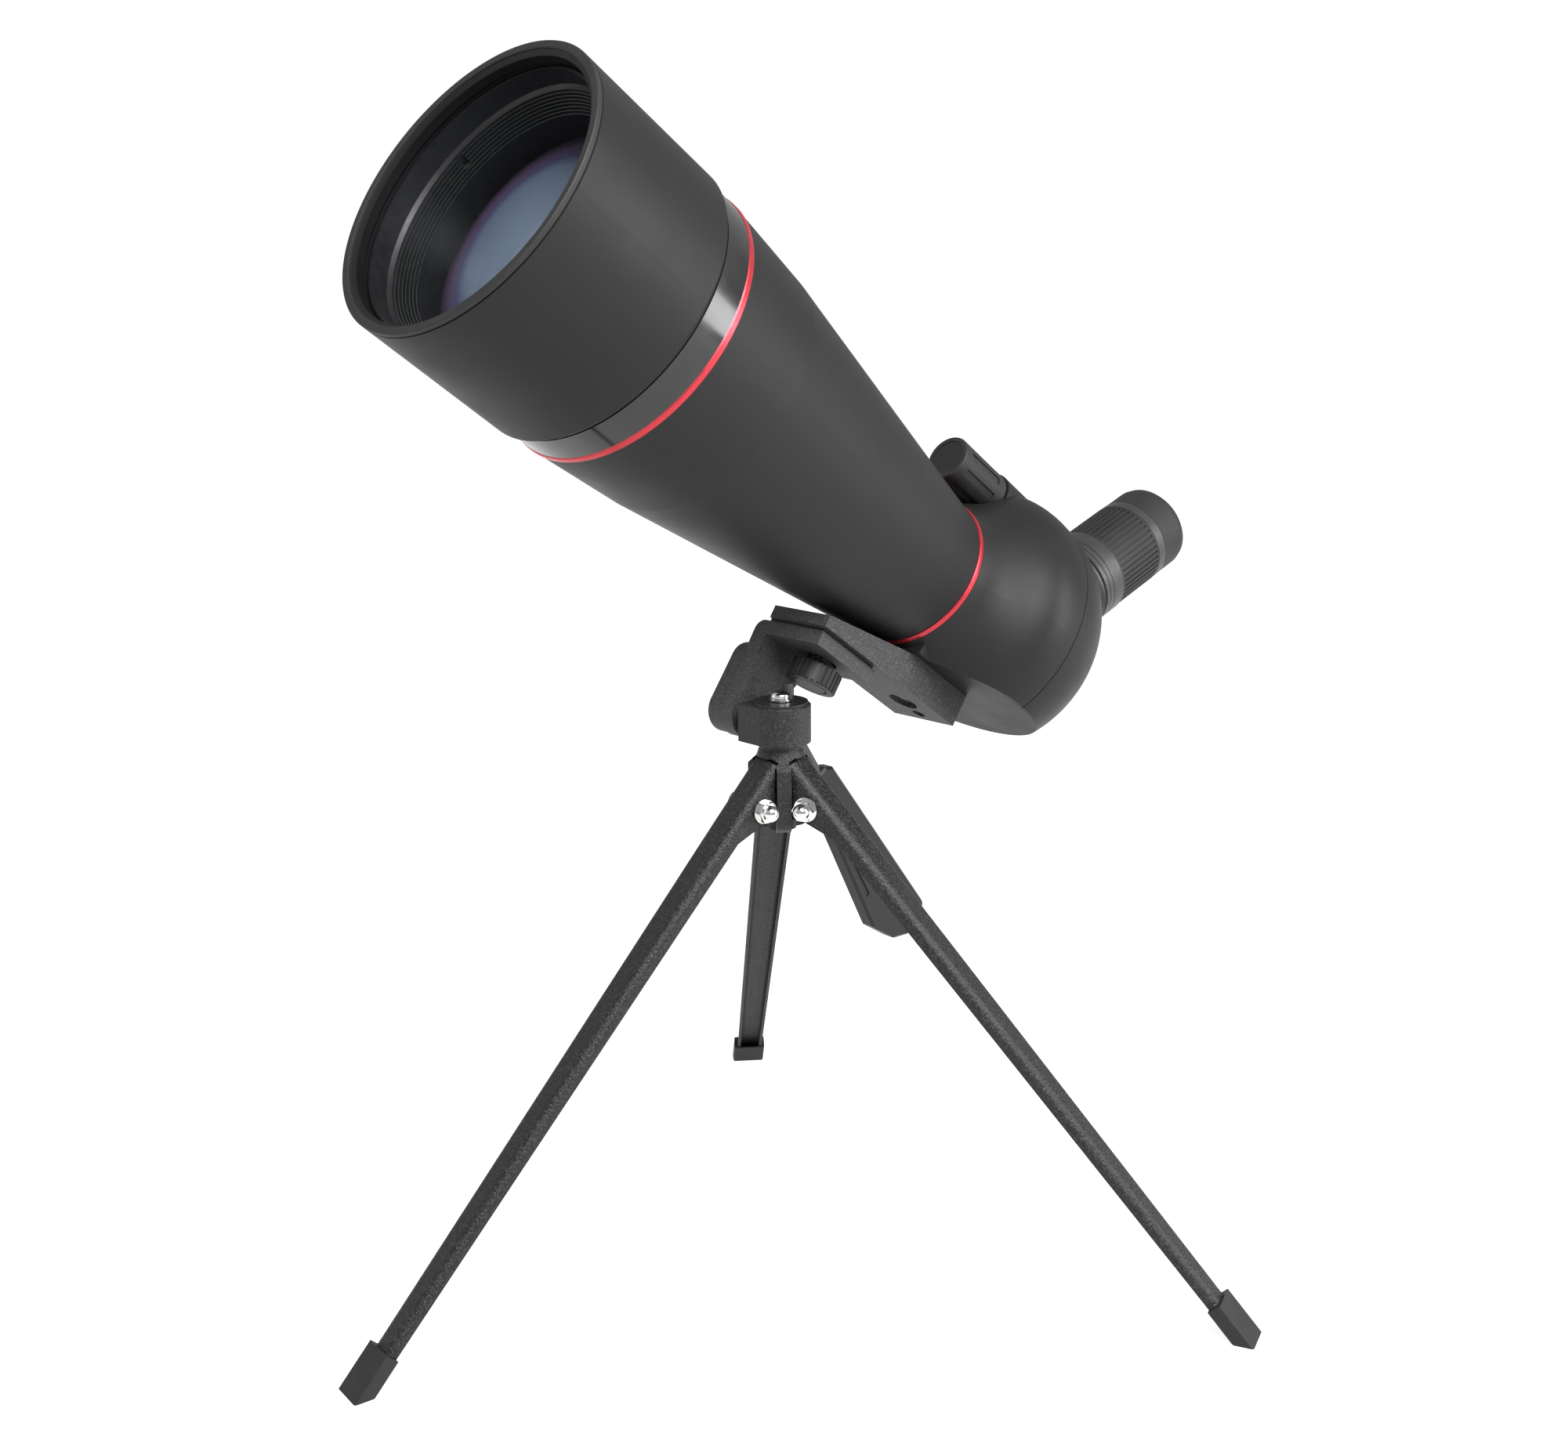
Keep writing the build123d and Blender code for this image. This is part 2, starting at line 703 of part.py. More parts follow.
def tilt_bracket():
    pivot_s, pivot_h = pivot_in_scope_frame()
    top = PLATE_BOTTOM - PAD_THICKNESS
    platform = side_slab(
        [(PLATFORM_FRONT, top), (PLATFORM_REAR, top),
         (PLATFORM_REAR, PLATFORM_BOTTOM), (PLATFORM_FRONT, PLATFORM_BOTTOM)],
        ARM_OUTER_X, PLATFORM_RIGHT,
    )
    corner = [e for e in platform.edges().filter_by(Axis.Z)
              if e.center().X < ARM_OUTER_X + 0.1 and e.center().Y > top - 0.1]
    platform = fillet(corner, 3.6)
    arm = side_slab(
        [(PLATFORM_FRONT, PLATFORM_BOTTOM), (PLATFORM_REAR - 4.0, PLATFORM_BOTTOM),
         (pivot_s + LUG_R, pivot_h), (pivot_s - LUG_R, pivot_h)],
        ARM_OUTER_X, ARM_INNER_X,
    )
    lug = Pos(ARM_OUTER_X, pivot_h, at(pivot_s)) * Rot(0, 90, 0)
    lug = lug * Cylinder(LUG_R, ARM_INNER_X - ARM_OUTER_X, align=(Align.CENTER, Align.CENTER, Align.MIN))
    spacer = Pos(ARM_INNER_X, pivot_h, at(pivot_s)) * Rot(0, 90, 0)
    spacer = spacer * Cylinder(6.2, BLOCK_FLAT_X - BODY_GAP - ARM_INNER_X,
                               align=(Align.CENTER, Align.CENTER, Align.MIN))
    thickness = ARM_OUTER_X - BOSS_OUTER_X
    low = Pos(BOSS_OUTER_X, pivot_h, at(pivot_s)) * Rot(0, 90, 0)
    low = low * Cylinder(LUG_R - 0.4, thickness, align=(Align.CENTER, Align.CENTER, Align.MIN))
    high = Pos(BOSS_OUTER_X, LUG_TOP_HEIGHT, at(pivot_s - 1.0)) * Rot(0, 90, 0)
    high = high * Cylinder(LUG_R - 1.6, thickness, align=(Align.CENTER, Align.CENTER, Align.MIN))
    web = side_slab(
        [(pivot_s - LUG_R + 0.4, pivot_h), (pivot_s + LUG_R - 0.4, pivot_h),
         (pivot_s - 1.0 + LUG_R - 1.6, LUG_TOP_HEIGHT), (pivot_s - 1.0 - LUG_R + 1.6, LUG_TOP_HEIGHT)],
        BOSS_OUTER_X, ARM_OUTER_X,
    )
    boss = low + high + web
    rims = [e for e in boss.edges() if e.center().X < BOSS_OUTER_X + 0.1]
    boss = fillet(rims, 1.5)
    body = platform + arm + lug + spacer + boss
    body -= upright_cylinder(CLAMP_STUD_R + 0.5, PLATFORM_BOTTOM - 1, top + 1, CLAMP_STATION, CLAMP_X)
    body -= upright_cylinder(6.0, PLATFORM_BOTTOM - 1, PLATFORM_BOTTOM + 1.4, CLAMP_STATION, CLAMP_X)
    hole = Pos(BOSS_OUTER_X - 1, pivot_h, at(pivot_s)) * Rot(0, 90, 0)
    body -= hole * Cylinder(3.0 + RUN_FIT, 40, align=(Align.CENTER, Align.CENTER, Align.MIN))
    body = scope_frame.location * body
    rod_hole = Cylinder(ROD_R, GRIP_TO, align=(Align.CENTER, Align.CENTER, Align.MIN))
    return body - handle_place() * (Pos(0, 0, ROD_START) * rod_hole)


def platform_pad():
    top = PLATE_BOTTOM
    pad = side_slab(
        [(PLATFORM_FRONT + 0.8, top), (PLATFORM_REAR - 0.8, top),
         (PLATFORM_REAR - 0.8, top - PAD_THICKNESS), (PLATFORM_FRONT + 0.8, top - PAD_THICKNESS)],
        PLATE_LEFT, PLATFORM_RIGHT - 0.8,
    )
    return pad - upright_cylinder(CLAMP_STUD_R + 0.5, top - 3, top + 1, CLAMP_STATION, CLAMP_X)


def clamp_knob():
    body = upright_cylinder(THUMB_R, THUMB_BOTTOM, THUMB_TOP, CLAMP_STATION, CLAMP_X)
    body = fillet(body.edges().filter_by(GeomType.CIRCLE), 0.6)
    middle = 0.5 * (THUMB_TOP + THUMB_BOTTOM)
    for index in range(THUMB_FLUTES):
        flute = Rot(0, 360 / THUMB_FLUTES * index, 0) * Pos(THUMB_R + 0.2, 0, 0) * Box(1.2, 9.0, 1.0)
        body -= Pos(CLAMP_X, middle, at(CLAMP_STATION)) * flute
    groove = upright_cylinder(6.6, THUMB_BOTTOM, THUMB_BOTTOM + 0.4, CLAMP_STATION, CLAMP_X)
    groove -= upright_cylinder(6.0, THUMB_BOTTOM - 1, THUMB_BOTTOM + 1, CLAMP_STATION, CLAMP_X)
    body -= groove
    body += upright_cylinder(5.0, THUMB_TOP, PLATFORM_BOTTOM - BODY_GAP, CLAMP_STATION, CLAMP_X)
    body -= upright_cylinder(CLAMP_STUD_R, THUMB_BOTTOM + 2.0, THUMB_TOP + 10, CLAMP_STATION, CLAMP_X)
    return body


def clamp_stud():
    return upright_cylinder(CLAMP_STUD_R - RUN_FIT, THUMB_BOTTOM + 2.0, -35.4, CLAMP_STATION, CLAMP_X)


def handle_place():
    """Plane on the handle axis, Z running down the handle from inside the arm."""
    angle = math.radians(HANDLE_ANGLE)
    plane = Plane(
        origin=(HANDLE_X, HANDLE_Y, HANDLE_Z),
        x_dir=(1, 0, 0),
        z_dir=(0, math.cos(angle), -math.sin(angle)),
    )
    return plane.location


def handle_rod():
    length = GRIP_FROM + 12.0 - ROD_START
    rod = Cylinder(ROD_R - RUN_FIT, length, align=(Align.CENTER, Align.CENTER, Align.MIN))
    return handle_place() * (Pos(0, 0, ROD_START + BODY_GAP) * rod)


def handle_grip():
    """Flat paddle, wider towards its slanted end, with a long groove on both faces."""
    half_top = 0.5 * GRIP_TOP_WIDTH
    half_end = 0.5 * GRIP_BOTTOM_WIDTH
    outline = Polyline(
        (0, -half_top, GRIP_FROM + 2.5),
        (0, -half_top + 3.0, GRIP_FROM),
        (0, half_top - 3.0, GRIP_FROM),
        (0, half_top, GRIP_FROM + 2.5),
        (0, half_end, GRIP_TO - 18.0),
        (0, half_end - 6.0, GRIP_TO - 5.0),
        (0, half_end - 13.0, GRIP_TO),
        (0, -half_end + 4.0, GRIP_TO - 1.5),
        (0, -half_end, GRIP_TO - 5.0),
        close=True,
    )
    face = make_face(outline)
    face = fillet([v for v in face.vertices() if v.Z > GRIP_TO - 20.0], 2.4)
    body = extrude(face, amount=0.5 * GRIP_THICKNESS, both=True, dir=(1, 0, 0))
    body = chamfer(body.faces().filter_by(Axis.X).edges(), 0.9)
    groove = Box(1.0, 1.8, 35.0)
    for side in (-1, 1):
        place = Pos(side * 0.5 * GRIP_THICKNESS, 7.2, GRIP_FROM + 40.5) * Rot(-2.45, 0, 0)
        body -= place * groove
    socket = Cylinder(ROD_R - RUN_FIT, 20.0, align=(Align.CENTER, Align.CENTER, Align.MIN))
    body -= Pos(0, 0, GRIP_FROM - 7.5 + BODY_GAP) * socket
    return handle_place() * body


# ---------------------------------------------------------------------------
# pan head
# ---------------------------------------------------------------------------

def pan_block():
    height = BLOCK_TOP - BLOCK_BOTTOM
    round_side = Cylinder(BLOCK_R, height, align=(Align.CENTER, Align.CENTER, Align.MIN))
    flat_side = Box(-BLOCK_FLAT_X, 2 * BLOCK_R, height, align=(Align.MAX, Align.CENTER, Align.MIN))
    keep_right = Box(40, 60, height, align=(Align.MIN, Align.CENTER, Align.MIN))
    body = Pos(0, 0, BLOCK_BOTTOM) * ((round_side & keep_right) + flat_side)
    body = chamfer(body.faces().sort_by(Axis.Z)[-1].edges(), 0.5)
    body -= Pos(0, 0, BLOCK_BOTTOM - 1) * Cylinder(PAN_SCREW_R + RUN_FIT, 40,
                                                   align=(Align.CENTER, Align.CENTER, Align.MIN))
    body -= cross_cylinder(3.0, BLOCK_FLAT_X - 1, -PAN_SCREW_R - 2.0, 0, PIVOT_Z)
    return body


def friction_disc():
    disc = Cylinder(DISC_R, 0.8, align=(Align.CENTER, Align.CENTER, Align.MIN))
    bore = Cylinder(PAN_SCREW_R + RUN_FIT, 5)
    return Pos(0, 0, BLOCK_TOP) * (disc - bore)


def pan_screw():
    head_z = BLOCK_TOP + 0.8 + BODY_GAP + 0.6
    head = Cylinder(3.4, 2.3, align=(Align.CENTER, Align.CENTER, Align.MIN))
    head = fillet(head.edges().sort_by(Axis.Z)[-1], 1.7)
    cross = Pos(0, 0, 2.3) * (Box(2.8, 0.65, 2.0) + Box(0.65, 2.8, 2.0))
    shank = Cylinder(PAN_SCREW_R, head_z - 176.0, align=(Align.CENTER, Align.CENTER, Align.MAX))
    return Pos(0, 0, head_z) * (head - cross + shank)


def pan_washer():
    base = BLOCK_TOP + 0.8 + BODY_GAP
    disc = Cylinder(4.1, 0.6, align=(Align.CENTER, Align.CENTER, Align.MIN))
    return Pos(0, 0, base) * (disc - Cylinder(PAN_SCREW_R, 5))


def tilt_bolt():
    head = cross_cylinder(5.2, BOSS_OUTER_X - 1.6, BOSS_OUTER_X - BODY_GAP, 0, PIVOT_Z)
    shank = cross_cylinder(3.0, BOSS_OUTER_X - 1.0, -PAN_SCREW_R - 2.0, 0, PIVOT_Z)
    slot = Pos(BOSS_OUTER_X - 1.6, 0, PIVOT_Z) * Box(1.2, 1.3, 12)
    return head + shank - slot


def stop_pin():
    return Pos(-3.4, 7.2, BLOCK_TOP + 0.8) * Cylinder(1.9, 4.6, align=(Align.CENTER, Align.CENTER, Align.MIN))


# ---------------------------------------------------------------------------
# tripod
# ---------------------------------------------------------------------------

def leg_frame(index):
    """Plane at a leg hinge: X outwards square to the leg, Y along the bolt, Z up the leg."""
    azimuth = math.radians(FIRST_LEG_ANGLE + index * 360 / LEG_COUNT)
    splay = math.radians(LEG_SPLAY)
    radial = Vector(math.cos(azimuth), math.sin(azimuth), 0)
    up = Vector(0, 0, 1)
    return Plane(
        origin=radial * HINGE_RADIUS + up * HINGE_Z,
        x_dir=radial * math.cos(splay) + up * math.sin(splay),
        z_dir=up * math.cos(splay) - radial * math.sin(splay),
    )


def hinge_frame(index):
    """Plane at a leg hinge with X radial, Y along the bolt and Z up."""
    azimuth = math.radians(FIRST_LEG_ANGLE + index * 360 / LEG_COUNT)
    radial = Vector(math.cos(azimuth), math.sin(azimuth), 0)
    origin = radial * HINGE_RADIUS + Vector(0, 0, HINGE_Z)
    return Plane(origin=origin, x_dir=radial, z_dir=(0, 0, 1))


def bolt_cylinder(radius, start, end):
    """Cylinder along the local Y of a leg or hinge plane."""
    body = Cylinder(radius, end - start, align=(Align.CENTER, Align.CENTER, Align.MIN))
    return Pos(0, start, 0) * Rot(-90, 0, 0) * body


def tripod_hub():
    profile = [
        (0, HUB_TOP), (HUB_NECK_R - 0.6, HUB_TOP), (HUB_NECK_R - 0.6, HUB_TOP - 1.5),
        (HUB_NECK_R, HUB_TOP - 3.4), (HUB_NECK_R + 0.8, HUB_TOP - 6.0), (HUB_CORE_R, HUB_TOP - 10.0),
        (HUB_CORE_R, HUB_BOTTOM), (0, HUB_BOTTOM),
    ]
    points = [(radius, 0, height) for radius, height in profile]
    body = revolve(make_face(Polyline(*points, close=True)), Axis.Z)
    rib_height = HUB_TOP - 4.6 - HUB_BOTTOM
    for index in range(LEG_COUNT):
        angle = FIRST_LEG_ANGLE + (index + 0.5) * 360 / LEG_COUNT
        rib = Box(RIB_REACH, RIB_WIDTH, rib_height, align=(Align.MIN, Align.CENTER, Align.MIN))
        foot = [e for e in rib.edges().filter_by(Axis.Y)
                if e.center().X > RIB_REACH - 0.1 and e.center().Z < 0.1]
        rib = fillet(foot, 5.0)
        tops = [e for e in rib.edges().filter_by(Axis.Y)
                if e.center().X > RIB_REACH - 0.1 and e.center().Z > rib_height - 0.1]
        rib = chamfer(tops, 3.4)
        body += Rot(0, 0, angle) * (Pos(0, 0, HUB_BOTTOM) * rib)
    for index in range(LEG_COUNT):
        swing = bolt_cylinder(17.3, -7.15, 7.15)
        swing &= Pos(7.2 - HINGE_RADIUS, 0, 0) * Box(60, 60, 60, align=(Align.MIN, Align.CENTER, Align.CENTER))
        body -= hinge_frame(index).location * swing
        seat = Box(2.7, 14.3, 16.2, align=(Align.MIN, Align.CENTER, Align.MIN))
        body -= leg_frame(index).location * (Pos(LEG_BACK - 1.9, 0, 0) * seat)
    for index in range(LEG_COUNT):
        half = TONGUE_HALF_WIDTH
        tongue = bolt_cylinder(TONGUE_R, -half, half)
        tongue += Box(HINGE_RADIUS - 2.0, 2 * half, 2 * TONGUE_R, align=(Align.MAX, Align.CENTER, Align.CENTER))
        tongue -= bolt_cylinder(BOLT_R, -half - 1, half + 1)
        body += hinge_frame(index).location * tongue
    body -= Pos(0, 0, 176.0) * Cylinder(PAN_SCREW_R, 40, align=(Align.CENTER, Align.CENTER, Align.MIN))
    return body


def channel_section(width, depth, height, sheet):
    """Section of the leg channel, rounded outside: open when it has a sheet thickness, else filled."""
    half = 0.5 * width
    front = LEG_BACK - depth
    outline = [(front, -half), (LEG_BACK, -half), (LEG_BACK, half), (front, half)]
    if sheet:
        inner = LEG_BACK - sheet
        outline += [(front, half - sheet), (inner, half - sheet), (inner, sheet - half), (front, sheet - half)]
    face = make_face(Polyline(*[(x, y, height) for x, y in outline], close=True))
    face = fillet([v for v in face.vertices() if v.X > LEG_BACK - 0.01], LEG_CORNER_R)
    inside = [v for v in face.vertices() if sheet and abs(v.X - LEG_BACK + sheet) < 0.01]
    return fillet(inside, LEG_CORNER_R - sheet) if inside else face


def leg_length():
    """Distance from the hinge to the end of the sheet metal, along the leg."""
    splay = math.radians(LEG_SPLAY)
    return (HINGE_Z + LEG_BACK * math.sin(splay)) / math.cos(splay) - 10.0


def channel(sheet):
    """Leg channel: parallel beside the hinge, then tapered down to the end of the sheet metal."""
    top = channel_section(LEG_TOP_WIDTH, LEG_TOP_DEPTH, -LEG_EAR_LENGTH, sheet)
    end = channel_section(LEG_END_WIDTH, LEG_END_DEPTH, -leg_length(), sheet)
    straight = extrude(top, amount=LEG_EAR_LENGTH + LEG_TOP, dir=(0, 0, 1))
    return straight + loft([end, top])


def leg():
    half = 0.5 * LEG_TOP_WIDTH
    seam = LEG_BACK - LEG_CORNER_R
    shoulder = (LEG_BACK - 1.8, 13.6)
    heel = (-3.6, 3.2)
    outline = [
        (seam, 11.6), heel, (-4.4, 0.0), (-3.4, -4.0),
        (1.4, -LEG_EAR_LENGTH + 0.5), (seam, -LEG_EAR_LENGTH + 0.5),
    ]
    notch = [(shoulder[0], LEG_TOP + 1), shoulder, heel, (-12, 3.2), (-12, LEG_TOP + 1)]
    ears = extrude(make_face(Polyline(*[(x, 0, z) for x, z in outline], close=True)), amount=half, both=True)
    ears -= Box(60, 2 * (half - LEG_SHEET), 60)
    body = channel(LEG_SHEET) + ears
    body -= extrude(make_face(Polyline(*[(x, 0, z) for x, z in notch], close=True)), amount=10, both=True)
    return body - bolt_cylinder(BOLT_R + RUN_FIT, -10, 10)


def foot_cap(index):
    """Square cap with a level sole, hollow where the leg end sits."""
    length = leg_length()
    depth = FOOT_BACK - FOOT_FRONT
    block = Box(depth, FOOT_WIDTH, FOOT_HEIGHT + 30, align=(Align.MIN, Align.CENTER, Align.MAX))
    block = Pos(FOOT_FRONT, 0, -length + FOOT_HEIGHT - 10) * block
    verticals = block.edges().filter_by(Axis.Z)
    block = fillet(verticals, 0.8)
    block -= channel(0)
    placed = leg_frame(index).location * block
    above_floor = Box(800, 800, 400, align=(Align.CENTER, Align.CENTER, Align.MIN))
    return placed & above_floor


def hinge_bolts():
    bolts = []
    for index in range(LEG_COUNT):
        side = -1 if index == 1 else 1
        shank = bolt_cylinder(BOLT_R, -9.6, 10.0)
        head = bolt_cylinder(3.6, -9.6, -7.05)
        bolt = shank + head
        bolts.append(hinge_frame(index).location * (Rot(0, 0, 0 if side > 0 else 180) * bolt))
    return bolts[0] + bolts[1:]


def hinge_washers():
    washers = []
    for index in range(LEG_COUNT):
        side = -1 if index == 1 else 1
        washer = bolt_cylinder(4.3, 7.05, 7.85) - bolt_cylinder(BOLT_R, 0, 12)
        washers.append(hinge_frame(index).location * (Rot(0, 0, 0 if side > 0 else 180) * washer))
    return washers[0] + washers[1:]


def dome_nuts():
    nuts = []
    for index in range(LEG_COUNT):
        side = -1 if index == 1 else 1
        hexagon = Pos(0, 7.85, 0) * Rot(-90, 0, 0) * extrude(RegularPolygon(3.9, 6), amount=2.7)
        crown = bolt_cylinder(3.0, 10.55, 11.2)
        dome_top = Pos(0, 11.2, 0) * Sphere(3.0)
        nut = hexagon + crown + dome_top - bolt_cylinder(BOLT_R, 0, 10.0)
        nuts.append(hinge_frame(index).location * (Rot(0, 0, 0 if side > 0 else 180) * nut))
    return nuts[0] + nuts[1:]


# ---------------------------------------------------------------------------
# writing the sub-parts
# ---------------------------------------------------------------------------

SCOPE_PARTS = {
    "lens_hood": lens_hood,
    "hood_edge_ring": hood_edge_ring,
    "objective_tube": objective_tube,
    "retaining_ring": retaining_ring,
    "crown_lens": crown_lens,
    "lens_spacer": lens_spacer,
    "flint_lens": flint_lens,
    "name_collar": name_collar,
    "front_accent_ring": front_accent_ring,
    "barrel": barrel,
    "baffle_tube": baffle_tube,
    "rear_accent_ring": rear_accent_ring,
    "prism_housing": prism_housing,
    "rear_cover": rear_cover,
    "prism_holder": prism_holder,
    "roof_prism": roof_prism,
    "foot_plate": foot_plate,
    "plate_screw": plate_screw,
    "focus_knob": focus_knob,
    "focus_knob_cap": focus_knob_cap,
    "focus_shaft": focus_shaft,
    "focus_carriage": focus_carriage,
    "focus_lens": focus_lens,
    "eyepiece_barrel": eyepiece_barrel,
    "eyepiece_base": eyepiece_base,
    "zoom_ring": zoom_ring,
    "zoom_grip": zoom_grip,
    "field_lens": field_lens,
    "zoom_carriage": zoom_carriage,
    "zoom_lens": zoom_lens,
    "eye_lens": eye_lens,
    "eye_lens_retainer": eye_lens_retainer,
    "eyecup_sleeve": eyecup_sleeve,
    "eyecup": eyecup,
    "platform_pad": platform_pad,
    "clamp_knob": clamp_knob,
    "clamp_stud": clamp_stud,
}

TRIPOD_PARTS = {
    "tilt_bracket": tilt_bracket,
    "handle_rod": handle_rod,
    "handle_grip": handle_grip,
    "pan_block": pan_block,
    "friction_disc": friction_disc,
    "pan_screw": pan_screw,
    "pan_washer": pan_washer,
    "tilt_bolt": tilt_bolt,
    "stop_pin": stop_pin,
    "tripod_hub": tripod_hub,
    "hinge_bolts": hinge_bolts,
    "hinge_washers": hinge_washers,
    "dome_nuts": dome_nuts,
}

LEG_NAMES = ("left", "right", "rear")


def write(name, shape):
    placed = Pos(TRIPOD_X, TRIPOD_Y, 0) * shape
    placed.label = name
    export_step(placed, f"parts/{name}.step")


os.makedirs("parts", exist_ok=True)

for name, build in SCOPE_PARTS.items():
    write(name, scope_frame.location * build())

for name, build in TRIPOD_PARTS.items():
    write(name, build())

for index, name in enumerate(LEG_NAMES):
    write(f"leg_{name}", leg_frame(index).location * leg())
    write(f"foot_{name}", foot_cap(index))
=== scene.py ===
import json
import math

import bpy
from mathutils import Matrix, Vector

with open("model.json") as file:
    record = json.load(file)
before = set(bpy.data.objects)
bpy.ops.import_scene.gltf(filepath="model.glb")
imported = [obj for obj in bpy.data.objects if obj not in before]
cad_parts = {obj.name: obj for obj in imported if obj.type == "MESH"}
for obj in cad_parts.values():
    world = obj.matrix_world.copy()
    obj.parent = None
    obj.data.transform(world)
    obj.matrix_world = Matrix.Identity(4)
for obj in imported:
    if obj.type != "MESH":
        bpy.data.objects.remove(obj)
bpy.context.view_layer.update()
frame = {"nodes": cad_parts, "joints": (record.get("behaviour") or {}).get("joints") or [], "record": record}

nodes = frame["nodes"]
joints = {joint["name"]: joint for joint in frame["joints"]}

# ---------------------------------------------------------------------------
# axes of the object, all from the frame
# ---------------------------------------------------------------------------

SCOPE_BACK = Vector(joints["focus_turn"]["axis"]).normalized()
SCOPE_UP = Vector(joints["clamp_turn"]["axis"]).normalized()
EYE_OUT = Vector(joints["zoom_turn"]["axis"]).normalized()
TRIPOD = Vector(joints["pan"]["pos_m"])
TRIPOD.z = 0

# optical axis: the focus screw runs parallel to it, this far above it
FOCUS_HEIGHT = 0.0429
FOCUS_STATION = 0.238
FRONT = Vector(joints["focus_turn"]["pos_m"]) - FOCUS_HEIGHT * SCOPE_UP - FOCUS_STATION * SCOPE_BACK
EYE_STATION = 0.2892
EYE_START = FRONT + EYE_STATION * SCOPE_BACK

# radii about the optical axis
HOOD_BORE_R = 0.0468
LENS_R = 0.0415


# ---------------------------------------------------------------------------
# camera, lights and floor
# ---------------------------------------------------------------------------

CAMERA_PLACE = TRIPOD + Vector((0.49680, -0.47083, 0.36674))
CAMERA_LOOK = Vector((-0.70331, 0.66882, -0.24089))
CAMERA_UP = Vector((-0.16855, 0.17230, 0.97052))
CAMERA_LENS_MM = 46.67
SENSOR_WIDTH_MM = 36.0

FLOOR_SIZE = 60
FLOOR_GREY = 0.32
FLOOR_ROUGHNESS = 0.9
FLOOR_GLOW = 0.87
WORLD_LIGHT = 0.5

LIGHT_AIM = Vector((0, 0, 0.25))
# name, place in metres, size in metres, watts
LIGHTS = (
    ("key", (0.9, -0.35, 1.25), (0.9, 0.7), 44),
    ("left", (-0.9, -1.0, 0.75), (0.7, 0.9), 1.5),
    ("right", (1.1, 0.8, 0.55), (0.5, 0.9), 16),
)


def make_camera():
    """Camera at the photographer's place."""
    look = CAMERA_LOOK.normalized()
    up = CAMERA_UP
    right = look.cross(up).normalized()
    up = right.cross(look)
    data = bpy.data.cameras.new("camera")
    data.lens = CAMERA_LENS_MM
    data.sensor_width = SENSOR_WIDTH_MM
    data.clip_start = 0.01
    data.clip_end = 20
    camera = bpy.data.objects.new("camera", data)
    basis = Matrix((right, up, -look)).transposed().to_4x4()
    camera.matrix_world = Matrix.Translation(CAMERA_PLACE) @ basis
    bpy.context.scene.collection.objects.link(camera)
    bpy.context.scene.camera = camera


def area_light(name, place, size, watts):
    """Rectangular light turned towards LIGHT_AIM."""
    data = bpy.data.lights.new(name, "AREA")
    data.shape = "RECTANGLE"
    data.size = size[0]
    data.size_y = size[1]
    data.energy = watts
    light = bpy.data.objects.new(name, data)
    light.location = place
    light.rotation_mode = "QUATERNION"
    light.rotation_quaternion = (LIGHT_AIM - Vector(place)).to_track_quat("-Z", "Y")
    bpy.context.scene.collection.objects.link(light)


def make_studio():
    """White world that is brighter to the camera than to the object, three lights and a glowing floor."""
    world = bpy.data.worlds.new("studio")
    world.use_nodes = True
    background = world.node_tree.nodes["Background"]
    background.inputs["Color"].default_value = (1.0, 1.0, 1.0, 1.0)
    rays = world.node_tree.nodes.new("ShaderNodeLightPath")
    backdrop = world.node_tree.nodes.new("ShaderNodeMapRange")
    backdrop.inputs["To Min"].default_value = WORLD_LIGHT
    world.node_tree.links.new(rays.outputs["Is Camera Ray"], backdrop.inputs["Value"])
    world.node_tree.links.new(backdrop.outputs["Result"], background.inputs["Strength"])
    bpy.context.scene.world = world
    bpy.context.scene.view_settings.view_transform = "Standard"
    for light in LIGHTS:
        area_light(*light)

    bpy.ops.mesh.primitive_plane_add(size=FLOOR_SIZE, location=(0, 0, 0))
    floor = bpy.context.object
    floor.name = "floor"
    material = bpy.data.materials.new("floor")
    material.use_nodes = True
    shader = material.node_tree.nodes["Principled BSDF"]
    shader.inputs["Base Color"].default_value = (FLOOR_GREY, FLOOR_GREY, FLOOR_GREY, 1)
    shader.inputs["Roughness"].default_value = FLOOR_ROUGHNESS
    shader.inputs["Emission Color"].default_value = (1, 1, 1, 1)
    shader.inputs["Emission Strength"].default_value = FLOOR_GLOW
    floor.data.materials.append(material)


# ---------------------------------------------------------------------------
# materials
# ---------------------------------------------------------------------------

